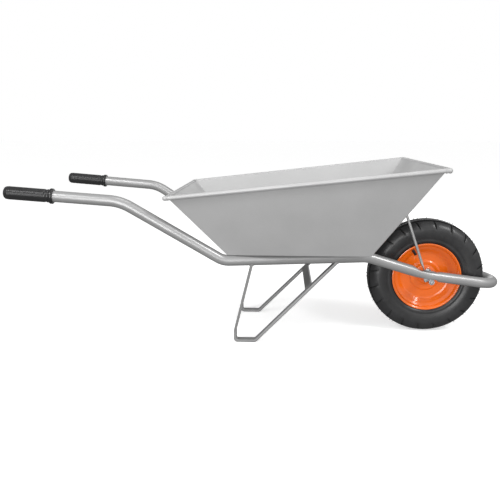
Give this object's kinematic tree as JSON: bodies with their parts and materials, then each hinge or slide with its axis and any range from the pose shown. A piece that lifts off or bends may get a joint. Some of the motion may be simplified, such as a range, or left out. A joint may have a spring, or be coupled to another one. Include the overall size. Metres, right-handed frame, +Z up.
{
  "type": "wheelbarrow",
  "caption": "Single-wheel barrow with a flat-panelled steel tray on a bent tube frame, two legs, a pneumatic tyre and rubber grips.",
  "frame": {"origin": "on the ground, under the middle of the barrow's length and width", "axes": "+X forward to the wheel, +Y to the left as seen by the person pushing, +Z up"},
  "size_m": [1.4569, 0.6204, 0.5364],
  "materials": {
    "frame_paint": "satin silver-grey enamel",
    "tray_paint": "satin grey enamel",
    "leg_paint": "satin grey enamel",
    "bare_wire": "drawn steel wire",
    "grip_rubber": "moulded ribbed PVC",
    "zinc": "bright zinc plate",
    "tyre_rubber": "moulded rubber",
    "butyl_rubber": "smooth rubber",
    "rim_paint": "gloss orange enamel",
    "nylon": "moulded nylon",
    "cap_plastic": "moulded plastic"
  },
  "bodies": {
    "frame": {"frame_tube": "frame_paint", "cross_member_rear": "frame_paint", "cross_member_front": "frame_paint", "tray": "tray_paint", "rim_wire": "bare_wire", "grip_left": "grip_rubber", "grip_right": "grip_rubber", "leg_left": "leg_paint", "leg_right": "leg_paint", "leg_crossbar": "leg_paint", "stay_left": "frame_paint", "stay_right": "frame_paint", "axle": "zinc", "axle_clip_left": "zinc", "axle_clip_right": "zinc", "axle_spacer_left": "zinc", "axle_spacer_right": "zinc", "clip_bolts": "zinc", "clip_nuts": "zinc", "tray_bolts": "zinc", "tray_nuts": "zinc", "stay_bolts": "zinc", "stay_nuts": "zinc"},
    "wheel": {"tyre": "tyre_rubber", "inner_tube": "butyl_rubber", "rim_dish_left": "rim_paint", "rim_dish_right": "rim_paint", "rim_band": "rim_paint", "hub": "rim_paint", "bush_left": "nylon", "bush_right": "nylon", "valve_stem": "butyl_rubber", "valve_cap": "cap_plastic"}
  },
  "joints": [
    {"name": "wheel_spin", "type": "hinge", "parent": "frame", "child": "wheel", "pos_m": [0.504, 0, 0.18], "axis": [0, 1, 0], "continuous": true}
  ]
}
